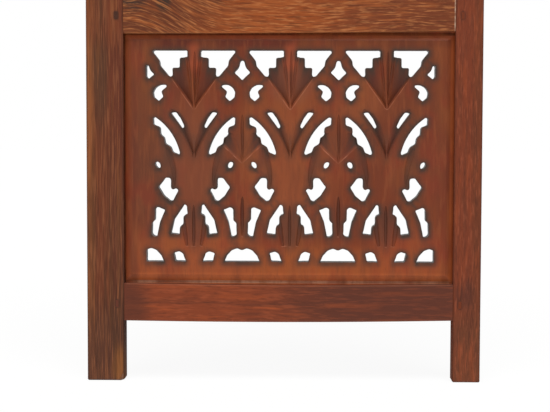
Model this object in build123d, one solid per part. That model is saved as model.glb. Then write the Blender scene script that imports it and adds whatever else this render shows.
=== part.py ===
from build123d import *
import os

os.makedirs("parts", exist_ok=True)

# End leaf of a folding jali screen: two stiles, five rails and four pierced boards, with two butt
# hinges for the next leaf. Millimetres. X runs across the leaf, Y from its front face to its back,
# Z up. The origin is on the floor, midway across the leaf and midway through its thickness.

# Frame
leaf_width = 500.0
leaf_thickness = 27.0
left_stile_width = 47.0
right_stile_width = 35.0
foot_height = 78.0  # floor to the bottom rail
rail_height = 48.0
rail_setback = 0.4  # each rail face behind the stile face
bay_height = 317.0  # rail to rail
bay_count = 4
horn_height = 34.0  # stile above the top rail
end_chamfer = 1.5  # on the four edges of each stile end

# Mortise and tenon joints, each held by one flat split-bamboo peg
tenon_length = 24.0
tenon_thickness = 9.0
tenon_shoulder = 10.0  # shoulder above and below the tenon
tenon_side_gap = 0.1
tenon_end_gap = 1.0  # glue space at the bottom of the mortise
peg_width = 4.0  # along the tenon
peg_height = 9.0
peg_gap = 0.05
peg_inset = 9.0  # peg centre behind the shoulder
peg_drop = 3.0  # peg centre below the middle of the rail

# Boards, held by a thin edge in grooves of the frame
board_thickness = 15.0
board_edge_thickness = 8.0
bevel_width = 10.0  # sloping border that shows between frame and field
groove_depth = 8.0
groove_side_gap = 0.1
groove_end_gap = 0.2

# Pierced pattern: equal cells side by side, each symmetric about its upright middle line
cells_across = 3
pattern_left_margin = 28.0  # plain border between left stile and pattern
pattern_right_margin = 24.0
motif_width = 122.0  # size of the cell in which the outlines below are drawn
motif_height = 317.0

# Butt hinges on the right stile's outer edge, let in flush
hinge_length = 75.0
hinge_rail_gap = 38.0  # hinge end to the nearest rail
flap_width = 21.0  # back face of the leaf to the flap's far edge
flap_thickness = 2.0
flap_fit_gap = 0.2
leaf_gap = 2.0  # between this leaf and the next
barrel_radius = 3.2
barrel_gap = 0.3  # barrel to the wood and to the other flap
knuckle_count = 3
knuckle_gap = 0.3
pin_radius = 1.6
pin_gap = 0.05
screw_count = 2
screw_spacing = 45.0
screw_hole_radius = 1.8
cut_margin = 1.0  # tools run this far past the faces they cut

# Holes beside a cell's middle line. A pair is a corner at (distance from the line, height above the
# rail). A group of four is an arc: a point that it passes through, then its end.
STEPPED_CROWN = (
    (8.5, 295.0), (51.5, 295.0), (53.0, 292.5), (44.5, 281.5), (43.5, 275.0), (33.0, 262.5),
    (30.0, 261.0), (27.5, 262.5), (27.5, 272.5), (18.5, 273.0), (18.0, 285.0), (8.5, 286.0),
)
COMMA = (
    (34.0, 249.0), (36.0, 251.5), (43.0, 251.5), (49.0, 248.0), (52.5, 242.0), (51.5, 235.0),
    (45.0, 230.0), (38.5, 236.0), (41.0, 242.5),
)
SLIM_LEAF = ((29.5, 215.5), (23.0, 216.5), (17.0, 208.5), (12.5, 198.5), (15.0, 196.0))
STEPPED_CRESCENT = (
    (52.5, 209.5), (49.0, 210.5), (29.0, 191.0, 17.5, 164.5), (19.0, 162.0), (27.5, 165.5),
    (30.0, 172.0), (37.0, 176.5), (38.5, 184.0), (43.0, 188.0), (44.0, 197.0), (52.0, 200.5),
)
SEED = ((46.5, 154.5), (49.0, 153.0), (48.5, 148.0), (45.5, 144.5), (43.0, 146.5), (43.5, 151.5))
MITTEN = (
    (37.0, 133.5), (31.0, 133.5), (29.0, 131.0), (29.0, 120.5), (26.5, 118.5), (23.0, 120.5),
    (19.5, 117.5), (26.5, 104.0), (30.5, 103.0), (39.0, 110.0), (46.0, 121.5),
)
STEPPED_BLADE = (
    (50.0, 94.0), (46.0, 96.5), (36.5, 92.5), (43.0, 77.0), (47.0, 58.0), (51.0, 58.0),
    (54.5, 61.0), (54.0, 76.5), (50.5, 79.0),
)
STEPPED_PETAL = (
    (12.5, 100.0), (9.0, 98.0), (8.0, 87.0), (13.5, 84.5), (14.0, 74.0), (17.5, 71.0),
    (18.5, 60.5), (30.0, 62.0), (26.0, 80.0),
)
ROOT = ((26.5, 37.5), (19.0, 40.0), (14.0, 37.0), (10.0, 26.0), (24.0, 26.5))
CELL_HOLES = (
    STEPPED_CROWN, COMMA, SLIM_LEAF, STEPPED_CRESCENT, SEED, MITTEN, STEPPED_BLADE, STEPPED_PETAL,
    ROOT,
)

# Half outlines against the line between two cells, and the shorter bud at the pattern's two ends
BUD = ((0.0, 282.5), (2.5, 281.5), (5.0, 273.0), (10.5, 266.5), (0.0, 256.5))
END_BUD = ((0.0, 275.5), (3.5, 276.0), (6.0, 269.5), (11.0, 264.0), (3.5, 258.0), (0.0, 261.0))
DOME = ((0.0, 41.5), (6.0, 44.0), (13.0, 41.5), (19.5, 34.5), (23.0, 26.0), (0.0, 26.0))

# What follows from the sizes above
stile_height = foot_height + (bay_count + 1) * rail_height + bay_count * bay_height + horn_height
left_edge = -leaf_width / 2
right_edge = leaf_width / 2
front_face = -leaf_thickness / 2
back_face = leaf_thickness / 2
opening_left = left_edge + left_stile_width
opening_right = right_edge - right_stile_width
opening_width = opening_right - opening_left
rail_bottoms = [foot_height + step * (rail_height + bay_height) for step in range(bay_count + 1)]
bay_bottoms = [bottom + rail_height for bottom in rail_bottoms[:-1]]
rail_thickness = leaf_thickness - 2 * rail_setback
tenon_height = rail_height - 2 * tenon_shoulder
groove_width = board_edge_thickness + 2 * groove_side_gap
pattern_left = opening_left + pattern_left_margin
cell_width = (opening_width - pattern_left_margin - pattern_right_margin) / cells_across
stretch_across = cell_width / motif_width
stretch_up = bay_height / motif_height
pin_x = right_edge + leaf_gap / 2
pin_y = back_face + barrel_gap + barrel_radius
flap_far_edge = back_face - flap_width
screw_y = back_face - flap_width / 2
hinge_bottoms = {
    "lower": rail_bottoms[1] + rail_height + hinge_rail_gap,
    "upper": rail_bottoms[-1] - hinge_rail_gap - hinge_length,
}


def block(x_limits, y_limits, z_limits):
    """Box between two limits along each axis."""
    limits = (x_limits, y_limits, z_limits)
    centre = [(low + high) / 2 for low, high in limits]
    spans = [abs(high - low) for low, high in limits]
    return Pos(*centre) * Box(*spans)


def centred(width):
    """Limits of a width centred on zero."""
    return (-width / 2, width / 2)


def upright(x, y, bottom, radius, length):
    """Cylinder that stands on the height bottom."""
    return Pos(x, y, bottom) * Cylinder(radius, length, align=(Align.CENTER, Align.CENTER, Align.MIN))


# Joinery


def rail_middles():
    """Heights of the middles of the rails, where the tenons and their pegs are."""
    return [bottom + rail_height / 2 for bottom in rail_bottoms]


def peg(x, z, gap):
    """Flat peg from face to face of the leaf, or with a gap all round the tool for its hole."""
    return Pos(x, 0, z) * Box(peg_width + 2 * gap, leaf_thickness, peg_height + 2 * gap)


def stile(inner_face, width, inwards):
    """Stile whose inner face looks along X in the direction inwards, +1 or -1."""
    body = block((inner_face, inner_face - inwards * width), centred(leaf_thickness), (0, stile_height))
    ends = body.faces().sort_by(Axis.Z)
    body = chamfer(ends[0].edges() + ends[-1].edges(), end_chamfer)
    groove_x = (inner_face + inwards * cut_margin, inner_face - inwards * groove_depth)
    mortise_x = (inner_face + inwards * cut_margin, inner_face - inwards * (tenon_length + tenon_end_gap))
    for bottom in bay_bottoms:
        groove_z = (bottom - groove_depth, bottom + bay_height + groove_depth)
        body -= block(groove_x, centred(groove_width), groove_z)
    for height in rail_middles():
        half = tenon_height / 2 + tenon_side_gap
        thickness = tenon_thickness + 2 * tenon_side_gap
        body -= block(mortise_x, centred(thickness), (height - half, height + half))
        body -= peg(inner_face - inwards * peg_inset, height - peg_drop, peg_gap)
    return body


def rail(bottom, groove_below, groove_above):
    """Rail between the stiles, with a tenon at each end and grooves for the boards that it holds."""
    top = bottom + rail_height
    body = block((opening_left, opening_right), centred(rail_thickness), (bottom, top))
    body += block(
        (opening_left - tenon_length, opening_right + tenon_length),
        centred(tenon_thickness),
        (bottom + tenon_shoulder, top - tenon_shoulder),
    )
    groove_x = (opening_left, opening_right)
    if groove_below:
        body -= block(groove_x, centred(groove_width), (bottom - cut_margin, bottom + groove_depth))
    if groove_above:
        body -= block(groove_x, centred(groove_width), (top - groove_depth, top + cut_margin))
    for peg_x in (opening_left - peg_inset, opening_right + peg_inset):
        body -= peg(peg_x, bottom + rail_height / 2 - peg_drop, peg_gap)
    return body


def pegs(x):
    """The pegs of one stile, flush with both of its faces."""
    return Compound(children=[peg(x, height - peg_drop, 0) for height in rail_middles()])


# Pierced boards


def hole_tool(stations, line_x, side):
    """Prism that pierces one hole on the side (+1 or -1) of the upright line at line_x."""

    def spot(across, up):
        return (line_x + side * across * stretch_across, up * stretch_up)

    edges = []
    start = spot(*stations[-1][-2:])
    for station in stations:
        end = spot(*station[-2:])
        if len(station) == 4:
            edges.append(Edge.make_three_point_arc(start, spot(*station[:2]), end))
        else:
            edges.append(Edge.make_line(start, end))
        start = end
    face = Plane.XZ * Face(Wire(edges))
    return extrude(face, board_thickness / 2 + cut_margin, both=True)


def pattern_tools():
    """Every hole of one board that stands on the height 0."""
    tools = []
    for cell in range(cells_across):
        middle = pattern_left + (cell + 0.5) * cell_width
        for side in (-1, 1):
            tools += [hole_tool(outline, middle, side) for outline in CELL_HOLES]
    for line in range(cells_across + 1):
        line_x = pattern_left + line * cell_width
        at_end = line in (0, cells_across)
        sides = [1] * (line < cells_across) + [-1] * (line > 0)
        for side in sides:
            tools.append(hole_tool(END_BUD if at_end else BUD, line_x, side))
            tools.append(hole_tool(DOME, line_x, side))
    return tools


def pierced_board():
    """Board with bevelled borders on both faces, standing on the height of the rail below it."""
    reach = groove_depth - groove_end_gap
    middle = Pos((opening_left + opening_right) / 2, bay_height / 2)
    body = block(
        (opening_left - reach, opening_right + reach),
        centred(board_edge_thickness),
        (-reach, bay_height + reach),
    )
    for face_side in (-1, 1):
        slope = Plane.XZ.offset(face_side * board_edge_thickness / 2) * middle * Rectangle(
            opening_width, bay_height
        )
        field = Plane.XZ.offset(face_side * board_thickness / 2) * middle * Rectangle(
            opening_width - 2 * bevel_width, bay_height - 2 * bevel_width
        )
        body += loft([slope.face(), field.face()], ruled=True)
    return body - pattern_tools()


# Hinges


def knuckle_spans(bottom, first):
    """Heights between which the knuckles of one flap stand, from knuckle number first."""
    pitch = hinge_length / knuckle_count
    starts = [bottom + number * pitch for number in range(first, knuckle_count, 2)]
    return [(start + knuckle_gap / 2, start + pitch - knuckle_gap / 2) for start in starts]


def screw_heights(bottom):
    """Heights of the screw holes of one flap."""
    middle = bottom + hinge_length / 2
    offsets = [(number - (screw_count - 1) / 2) * screw_spacing for number in range(screw_count)]
    return [middle + offset for offset in offsets]


def flap(bottom, outer_side, first_knuckle):
    """Hinge flap on one side (-1 or +1) of the gap between the leaves, with its knuckles."""
    near = pin_x + outer_side * leaf_gap / 2
    far = near + outer_side * flap_thickness
    body = block((near, far), (flap_far_edge, pin_y), (bottom, bottom + hinge_length))
    for low, high in knuckle_spans(bottom, 1 - first_knuckle):
        zone = high - low + 2 * knuckle_gap
        body -= upright(pin_x, pin_y, low - knuckle_gap, barrel_radius + barrel_gap, zone)
    for low, high in knuckle_spans(bottom, first_knuckle):
        body += upright(pin_x, pin_y, low, barrel_radius, high - low)
    body -= upright(pin_x, pin_y, bottom, pin_radius + pin_gap, hinge_length)
    for height in screw_heights(bottom):
        body -= Pos((near + far) / 2, screw_y, height) * Rot(Y=90) * Cylinder(
            screw_hole_radius, flap_thickness + cut_margin
        )
    return body


def hinge_pin(bottom):
    """Pin through all the knuckles of one hinge."""
    return upright(pin_x, pin_y, bottom, pin_radius, hinge_length)


def let_in_hinge(body, bottom):
    """Stile with a recess for a fixed flap in its outer edge."""
    return body - block(
        (right_edge - flap_thickness, right_edge + cut_margin),
        (flap_far_edge - flap_fit_gap, back_face + cut_margin),
        (bottom - flap_fit_gap, bottom + hinge_length + flap_fit_gap),
    )


# The leaf

nodes = {}
nodes["left_stile"] = stile(opening_left, left_stile_width, 1)
right_stile = stile(opening_right, right_stile_width, -1)
for bottom in hinge_bottoms.values():
    right_stile = let_in_hinge(right_stile, bottom)
nodes["right_stile"] = right_stile

nodes["bottom_rail"] = rail(rail_bottoms[0], False, True)
for number, bottom in enumerate(rail_bottoms[1:-1], 1):
    nodes[f"middle_rail_{number}"] = rail(bottom, True, True)
nodes["top_rail"] = rail(rail_bottoms[-1], True, False)

board = pierced_board()
for number, bottom in enumerate(bay_bottoms, 1):
    nodes[f"carved_board_{number}"] = Pos(0, 0, bottom) * board

nodes["left_tenon_pegs"] = pegs(opening_left - peg_inset)
nodes["right_tenon_pegs"] = pegs(opening_right + peg_inset)

for place, bottom in hinge_bottoms.items():
    nodes[f"{place}_hinge_fixed_flap"] = flap(bottom, -1, 0)
    nodes[f"{place}_hinge_free_flap"] = flap(bottom, 1, 1)
    nodes[f"{place}_hinge_pin"] = hinge_pin(bottom)

for name, shape in nodes.items():
    shape.label = name
    export_step(shape, f"parts/{name}.step")
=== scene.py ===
"""Visual model of the end leaf of a folding jali screen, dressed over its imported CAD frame.

Metres. X runs across the leaf towards its hinges, Y from its front face to its back, Z up.
"""

import logging
import math
from dataclasses import dataclass, field
from enum import Enum
from typing import Any, Callable

import bmesh
import bpy
from mathutils import Matrix, Vector, kdtree, noise


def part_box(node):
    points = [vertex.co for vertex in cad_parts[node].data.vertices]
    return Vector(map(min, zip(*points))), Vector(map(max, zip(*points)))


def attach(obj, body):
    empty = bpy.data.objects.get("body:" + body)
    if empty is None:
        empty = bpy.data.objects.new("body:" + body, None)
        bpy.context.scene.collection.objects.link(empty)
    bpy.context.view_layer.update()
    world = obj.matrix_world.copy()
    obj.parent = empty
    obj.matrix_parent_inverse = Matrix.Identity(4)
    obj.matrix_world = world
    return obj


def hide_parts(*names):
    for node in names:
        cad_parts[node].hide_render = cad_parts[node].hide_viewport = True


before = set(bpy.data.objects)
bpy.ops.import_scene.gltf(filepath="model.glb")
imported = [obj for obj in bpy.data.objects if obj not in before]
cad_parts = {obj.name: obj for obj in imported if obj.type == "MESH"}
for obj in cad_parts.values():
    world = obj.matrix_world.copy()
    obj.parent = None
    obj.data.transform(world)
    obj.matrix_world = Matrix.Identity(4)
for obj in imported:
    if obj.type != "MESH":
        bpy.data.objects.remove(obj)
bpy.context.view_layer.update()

LOG = logging.getLogger("jali_leaf")
MM = 0.001
LEAF_BODY = "leaf"

# How near points have to be to count as one, as a crumb, and as lying on a cutting plane
MERGE = 0.002 * MM
CRUMB = 0.001 * MM
GRIP = 0.01 * MM

# Faces that turn less than the first angle are one, below the second they shade smoothly, and edges
# that turn more than the third are arrises
FLAT_ANGLE = math.radians(0.5)
SMOOTH_ANGLE = math.radians(32)
SHARP_ANGLE = math.radians(50)

# The part of a face's normal that lies along one axis: faces that are exactly square to it, faces of
# the board that look out, and walls of its holes that look aside
SQUARE_ON = 0.99999
LOOKS_OUT = 0.99
LOOKS_ASIDE = 0.1

# How far in from the end of its reach a soft patch comes to its full strength
NEAR_ENOUGH = 0.6

ROUND_FACETS = 32
GOUGE_FACETS = 14
GOUGE_RINGS = 11

Tree = bpy.types.NodeTree
Socket = bpy.types.NodeSocket
Shape = bmesh.types.BMesh
Vert = bmesh.types.BMVert
Edge = bmesh.types.BMEdge
Piece = bpy.types.Object
Triple = tuple[float, float, float]


# Small tools


def linear_colour(code: str) -> tuple[float, float, float, float]:
    """Turns an sRGB hex colour into a linear one.

    Args:
        code: The colour as "#rrggbb".

    Returns:
        Linear red, green and blue with an alpha of 1.
    """
    channels = [int(code[place : place + 2], 16) / 255 for place in (1, 3, 5)]
    red, green, blue = (c / 12.92 if c <= 0.04045 else ((c + 0.055) / 1.055) ** 2.4 for c in channels)
    return (red, green, blue, 1.0)


def add_node(
    tree: Tree, kind: str, inputs: dict[int | str, Any] | None = None, **settings: Any
) -> bpy.types.Node:
    """Adds one node with its settings, values and links.

    Args:
        tree: The node tree that it goes into.
        kind: Blender's name for the node type.
        inputs: For each input, a value or the output socket that feeds it.
        **settings: The node's own properties.

    Returns:
        The new node.
    """
    node = tree.nodes.new(kind)
    for name, value in settings.items():
        setattr(node, name, value)
    for key, value in (inputs or {}).items():
        if isinstance(value, Socket):
            tree.links.new(value, node.inputs[key])
        else:
            node.inputs[key].default_value = value
    return node


def new_material(name: str) -> tuple[bpy.types.Material, Tree, bpy.types.Node, Socket]:
    """Makes a material that is ready to be filled.

    Args:
        name: The material's name.

    Returns:
        The material, its node tree, its main shader and the object coordinates.
    """
    material = bpy.data.materials.new(name)
    material.use_nodes = True
    tree = material.node_tree
    place = add_node(tree, "ShaderNodeTexCoord").outputs["Object"]
    return material, tree, tree.nodes["Principled BSDF"], place


def laid_over(tree: Tree, body: str, coats: list[tuple[Socket, str]]) -> Socket:
    """Lays coats of colour over a body colour, one after another.

    Args:
        tree: The node tree that they go into.
        body: The body's hex colour.
        coats: How much of each coat shows and its hex colour, from the lowest up.

    Returns:
        The finished colour.
    """
    colour: Any = linear_colour(body)
    for share, tint in coats:
        inputs = {0: share, 6: colour, 7: linear_colour(tint)}
        colour = add_node(tree, "ShaderNodeMix", inputs, data_type="RGBA").outputs[2]
    return colour


def nearness(tree: Tree, place: Socket, centre_mm: Triple, reach_mm: Triple) -> Socket:
    """Measures how near a point is, from 0 where its reach ends to 1 well before the point.

    Args:
        tree: The node tree that it goes into.
        place: The object coordinates.
        centre_mm: The point.
        reach_mm: How far its influence goes along each axis.

    Returns:
        The nearness.
    """
    inputs = {"Vector": place, "Location": Vector(centre_mm) * MM, "Scale": Vector(reach_mm) * MM}
    moved = add_node(tree, "ShaderNodeMapping", inputs, vector_type="TEXTURE").outputs[0]
    ball = add_node(tree, "ShaderNodeTexGradient", {"Vector": moved}, gradient_type="SPHERICAL")
    inputs = {"Value": ball.outputs["Fac"], "From Max": NEAR_ENOUGH}
    return add_node(tree, "ShaderNodeMapRange", inputs, interpolation_type="SMOOTHSTEP").outputs[0]


def patchiness(
    tree: Tree, place: Socket, per_metre: float, levels: tuple[float, float], values: tuple[float, float]
) -> Socket:
    """Varies softly from place to place, so that a mark is broken or uneven.

    Args:
        tree: The node tree that it goes into.
        place: The object coordinates.
        per_metre: How many patches lie in a metre.
        levels: The two levels of the noise that the change lies between.
        values: The values at these levels.

    Returns:
        The varying value.
    """
    inputs = {"Vector": place, "Scale": per_metre, "Detail": 2.0}
    noise_level = add_node(tree, "ShaderNodeTexNoise", inputs).outputs["Fac"]
    inputs = dict(zip(("From Min", "From Max", "To Min", "To Max"), levels + values))
    return add_node(tree, "ShaderNodeMapRange", {"Value": noise_level} | inputs).outputs[0]


def hemmed_in(
    tree: Tree, reach_mm: float, levels: tuple[float, float], most: float, inside: bool = False
) -> Socket:
    """Finds the corners of a piece, or its arrises when it looks from inside the wood.

    Args:
        tree: The node tree that it goes into.
        reach_mm: How far off the piece's own faces still count.
        levels: How open a point is where the effect starts, and where it is full.
        most: The full effect.
        inside: Whether it looks from inside the wood.

    Returns:
        The effect at each point.
    """
    inputs = {"Distance": reach_mm * MM}
    node = add_node(tree, "ShaderNodeAmbientOcclusion", inputs, samples=8, only_local=True, inside=inside)
    inputs = {"Value": node.outputs["AO"], "From Min": levels[0], "From Max": levels[1], "To Max": most}
    return add_node(tree, "ShaderNodeMapRange", inputs).outputs[0]


def merged_copy(node: str) -> Shape:
    """Copies a CAD node's surface as one connected shape with few faces.

    Args:
        node: The CAD node's name.

    Returns:
        A new bmesh in the leaf's own frame.
    """
    shape = bmesh.new()
    shape.from_mesh(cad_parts[node].data)
    bmesh.ops.remove_doubles(shape, verts=shape.verts, dist=MERGE)
    bmesh.ops.dissolve_limit(
        shape, angle_limit=FLAT_ANGLE, verts=shape.verts, edges=shape.edges, use_dissolve_boundaries=False
    )
    return shape


def cut_off(shape: Shape, point: Vector, direction: Vector, grip: float = 0.0) -> None:
    """Cuts away what lies beyond a plane and closes the cut.

    Args:
        shape: The closed shape.
        point: A point of the plane.
        direction: The plane's normal, towards what goes.
        grip: How near the plane a point counts as on it.
    """
    cut = bmesh.ops.bisect_plane(
        shape,
        geom=shape.verts[:] + shape.edges[:] + shape.faces[:],
        dist=grip,
        plane_co=point,
        plane_no=direction,
        clear_outer=True,
    )
    bmesh.ops.holes_fill(shape, edges=[item for item in cut["geom_cut"] if isinstance(item, Edge)])


def point_tree(points: list[Vector]) -> kdtree.KDTree:
    """Sorts points so that the nearest one is found fast.

    Args:
        points: The points.

    Returns:
        Their tree.
    """
    tree = kdtree.KDTree(len(points))
    for index, point in enumerate(points):
        tree.insert(point, index)
    tree.balance()
    return tree


def finished_object(shape: Shape, name: str, body: str, material: bpy.types.Material) -> Piece:
    """Turns a finished shape into a piece that rides on a body.

    Args:
        shape: The shape, which is freed.
        name: The piece's name.
        body: The CAD body that it moves with.
        material: Its finish.

    Returns:
        The new piece.
    """
    for face in shape.faces:
        face.smooth = True
    for edge in shape.edges:
        flat = [abs(max(face.normal, key=abs)) > SQUARE_ON for face in edge.link_faces]
        edge.smooth = edge.calc_face_angle(0.0) < SMOOTH_ANGLE and not any(flat)
    mesh = bpy.data.meshes.new(name)
    shape.to_mesh(mesh)
    shape.free()
    mesh.materials.append(material)
    piece = bpy.data.objects.new(name, mesh)
    bpy.context.scene.collection.objects.link(piece)
    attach(piece, body)
    return piece


def cut_away(shape: Shape, cutters: Shape, overlapping: bool = False) -> Shape:
    """Subtracts closed cutters from a shape.

    Args:
        shape: What is cut, which is freed.
        cutters: The cutters, which are freed.
        overlapping: Whether the cutters run into each other.

    Returns:
        The cut shape.
    """
    stock, tool = bpy.data.meshes.new("stock"), bpy.data.meshes.new("tool")
    shape.to_mesh(stock)
    cutters.to_mesh(tool)
    shape.free()
    cutters.free()
    objects = [bpy.data.objects.new(mesh.name, mesh) for mesh in (stock, tool)]
    for item in objects:
        bpy.context.scene.collection.objects.link(item)
    modifier = objects[0].modifiers.new("cut", "BOOLEAN")
    modifier.operation = "DIFFERENCE"
    modifier.solver = "EXACT"
    modifier.use_self = overlapping
    modifier.object = objects[1]
    graph = bpy.context.evaluated_depsgraph_get()
    cut = bpy.data.meshes.new_from_object(objects[0].evaluated_get(graph))
    result = bmesh.new()
    result.from_mesh(cut)
    for item in objects:
        bpy.data.objects.remove(item)
    for mesh in (stock, tool, cut):
        bpy.data.meshes.remove(mesh)
    return result


def ease_edges(shape: Shape, width: float, chosen: Callable[[Edge], bool]) -> None:
    """Rounds the sharp outward edges that a test picks.

    Args:
        shape: The shape.
        width: How far the rounding reaches from each edge.
        chosen: Says of a sharp outward edge whether it is rounded.
    """
    edges = [
        edge
        for edge in shape.edges
        if len(edge.link_faces) == 2
        and edge.is_convex
        and edge.calc_face_angle(0.0) > SHARP_ANGLE
        and chosen(edge)
    ]
    bmesh.ops.bevel(
        shape,
        geom=edges,
        offset=width,
        offset_type="OFFSET",
        segments=2,
        profile=0.5,
        affect="EDGES",
        clamp_overlap=False,
        material=-1,
    )


# Finishes


class Grain(Enum):
    """The axis along which a piece's fibres run."""

    ACROSS = 0
    UPRIGHT = 2


@dataclass(frozen=True)
class Layer:
    """One layer of long marks, that shows where its noise lies between two levels."""

    colour: str
    width_mm: float
    length_mm: float
    strength: float
    low: float = 0.5
    high: float = 0.65
    detail: float = 2.0

    def share(self, tree: Tree, place: Socket, grain: Grain, shift: Vector) -> Socket:
        """Adds the layer's pattern.

        Args:
            tree: The material's node tree.
            place: The object coordinates.
            grain: The axis of the fibres.
            shift: The offset in mm that makes each piece its own.

        Returns:
            How much of the layer's colour shows.
        """
        scale = [1000 / self.width_mm] * 3
        scale[grain.value] = 1000 / self.length_mm
        inputs = {"Vector": place, "Location": shift / self.width_mm, "Scale": scale}
        drawn_out = add_node(tree, "ShaderNodeMapping", inputs).outputs[0]
        inputs = {"Vector": drawn_out, "Scale": 1.0, "Detail": self.detail, "Roughness": 0.6}
        level = add_node(tree, "ShaderNodeTexNoise", inputs).outputs["Fac"]
        inputs = {"Value": level, "From Min": self.low, "From Max": self.high, "To Max": self.strength}
        return add_node(tree, "ShaderNodeMapRange", inputs).outputs[0]


@dataclass(frozen=True)
class Stain:
    """A soft-edged place where the timber's colour drifts towards another."""

    centre_mm: Triple
    reach_mm: Triple
    colour: str
    strength: float
    over_figure: bool = False
    matt: bool = False

    def share(self, tree: Tree, place: Socket) -> Socket:
        """Adds the stain's soft shape.

        Args:
            tree: The material's node tree.
            place: The object coordinates.

        Returns:
            How much of the stain's colour shows.
        """
        near = nearness(tree, place, self.centre_mm, self.reach_mm)
        inputs = {0: near, 1: self.strength}
        return add_node(tree, "ShaderNodeMath", inputs, operation="MULTIPLY").outputs[0]


@dataclass(frozen=True)
class Knot:
    """A knot outside the piece that pushes the fibres aside as they pass."""

    centre_mm: Triple
    reach_mm: Triple
    push_mm: Triple


@dataclass(frozen=True)
class TimberFinish:
    """Solid timber, planed and sanded by hand, stained red-brown and rubbed with wax.

    The eye sees long soft marks along the fibres, fine dark pores that are sunk and dull, painted shade in
    the corners, arrises of another tone (paler on the rails, partly a painted highlight) and a thin sheen.
    Fibres and pores finer than about 1.3 mm wouldn't show, so they are drawn that coarse.
    """

    name: str
    body: str
    layers: tuple[Layer, ...]
    arris: str
    crevice_shade: str
    grain: Grain
    shift_mm: Triple = (0.0, 0.0, 0.0)
    sway_mm: float = 14.0
    sways_per_metre: float = 6.0
    arris_mm: float = 2.2
    arris_strength: float = 0.75
    crevice_shade_mm: float = 7.0
    crevice_shade_strength: float = 0.8
    roughness: float = 0.5
    pore_roughness: float = 0.25
    pore_mm: float = 0.3
    wax_sheen: float = 0.22
    stains: tuple[Stain, ...] = ()
    knots: tuple[Knot, ...] = ()
    shoulders_mm: tuple[float, float] | None = None
    filled: bool = False
    filler: str = "#bd9c84"
    pierced: bool = False
    lit_chip_edge: str = "#a8694f"

    def build(self) -> bpy.types.Material:
        """Makes the material.

        Returns:
            A material whose pattern is fixed in the leaf's own frame.
        """
        material, tree, shader, place = new_material(self.name)
        swayed = self.swayed(tree, place)
        coats = [(stain.share(tree, place), stain.colour) for stain in self.stains if not stain.over_figure]
        for number, layer in enumerate(self.layers, 1):
            fibre = layer.share(tree, swayed, self.grain, Vector(self.shift_mm) * number)
            coats.append((fibre, layer.colour))
        coats += [(stain.share(tree, place), stain.colour) for stain in self.stains if stain.over_figure]
        if self.filled:
            coats.append((self.filled_joint(tree, place), self.filler))
        # Painted shade darkens the corners and hollows that the piece hems in.
        coats.append((hemmed_in(tree, self.crevice_shade_mm, (0.94, 0.6), self.crevice_shade_strength), self.crevice_shade))
        if self.pierced:
            coats += self.carving_light_and_rims(tree, place)
        else:
            coats.append((self.toned_arrises(tree, place), self.arris))
        tree.links.new(laid_over(tree, self.body, coats), shader.inputs["Base Color"])
        # The last layer is the pores, which are sunk and dull.
        inputs = {"Value": fibre, "To Min": self.roughness, "To Max": self.roughness + self.pore_roughness}
        roughness = add_node(tree, "ShaderNodeMapRange", inputs).outputs[0]
        for stain in [stain for stain in self.stains if stain.matt]:
            near = nearness(tree, place, stain.centre_mm, stain.reach_mm)
            inputs = {"Value": near, "To Min": roughness, "To Max": 1.0}
            roughness = add_node(tree, "ShaderNodeMapRange", inputs).outputs[0]
        tree.links.new(roughness, shader.inputs["Roughness"])
        inputs = {"Strength": 0.3, "Distance": -self.pore_mm * MM, "Height": fibre}
        sunk = add_node(tree, "ShaderNodeBump", inputs).outputs[0]
        tree.links.new(sunk, shader.inputs["Normal"])
        shader.inputs["Specular IOR Level"].default_value = self.wax_sheen
        return material

    def swayed(self, tree: Tree, place: Socket) -> Socket:
        """Lets the fibres sway, and pushes them aside at the knots.

        Args:
            tree: The material's node tree.
            place: The object coordinates.

        Returns:
            The coordinates that the layers are drawn in.
        """
        inputs = {"Vector": place, "Scale": self.sways_per_metre, "Detail": 2.0}
        sway = add_node(tree, "ShaderNodeTexNoise", inputs).outputs["Color"]
        pushes = [(sway, (self.sway_mm * MM,) * 3)]
        for knot in self.knots:
            near = nearness(tree, place, knot.centre_mm, knot.reach_mm)
            pushes.append((near, Vector(knot.push_mm) * MM))
        for share, push in pushes:
            inputs = {0: share, 1: push, 2: place}
            place = add_node(tree, "ShaderNodeVectorMath", inputs, operation="MULTIPLY_ADD").outputs[0]
        return place

    def filled_joint(self, tree: Tree, place: Socket) -> Socket:
        """Draws the broken line of pale filler that is left in a joint.

        Args:
            tree: The material's node tree.
            place: The object coordinates.

        Returns:
            How much of the filler shows.
        """
        shoulder = self.shoulders_mm[1]
        across = add_node(tree, "ShaderNodeSeparateXYZ", {0: place}).outputs["X"]
        inputs = {"Value": across, "From Min": (shoulder - 1.6) * MM, "From Max": (shoulder - 1.3) * MM}
        line = add_node(tree, "ShaderNodeMapRange", inputs).outputs[0]
        broken = patchiness(tree, place, 160.0, (0.4, 0.6), (0.25, 0.9))
        return add_node(tree, "ShaderNodeMath", {0: line, 1: broken}, operation="MULTIPLY").outputs[0]

    def toned_arrises(self, tree: Tree, place: Socket) -> Socket:
        """Finds the arrises and tones them: paler on the rails, partly wear and partly a painted highlight.

        Args:
            tree: The material's node tree.
            place: The object coordinates.

        Returns:
            How much of the arrises' colour shows.
        """
        edge_tone = hemmed_in(tree, self.arris_mm, (0.97, 0.53), self.arris_strength, inside=True)
        if not self.shoulders_mm:
            return edge_tone
        inputs = {0: edge_tone, 1: self.off_shoulders(tree, place)}
        return add_node(tree, "ShaderNodeMath", inputs, operation="MULTIPLY").outputs[0]

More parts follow.
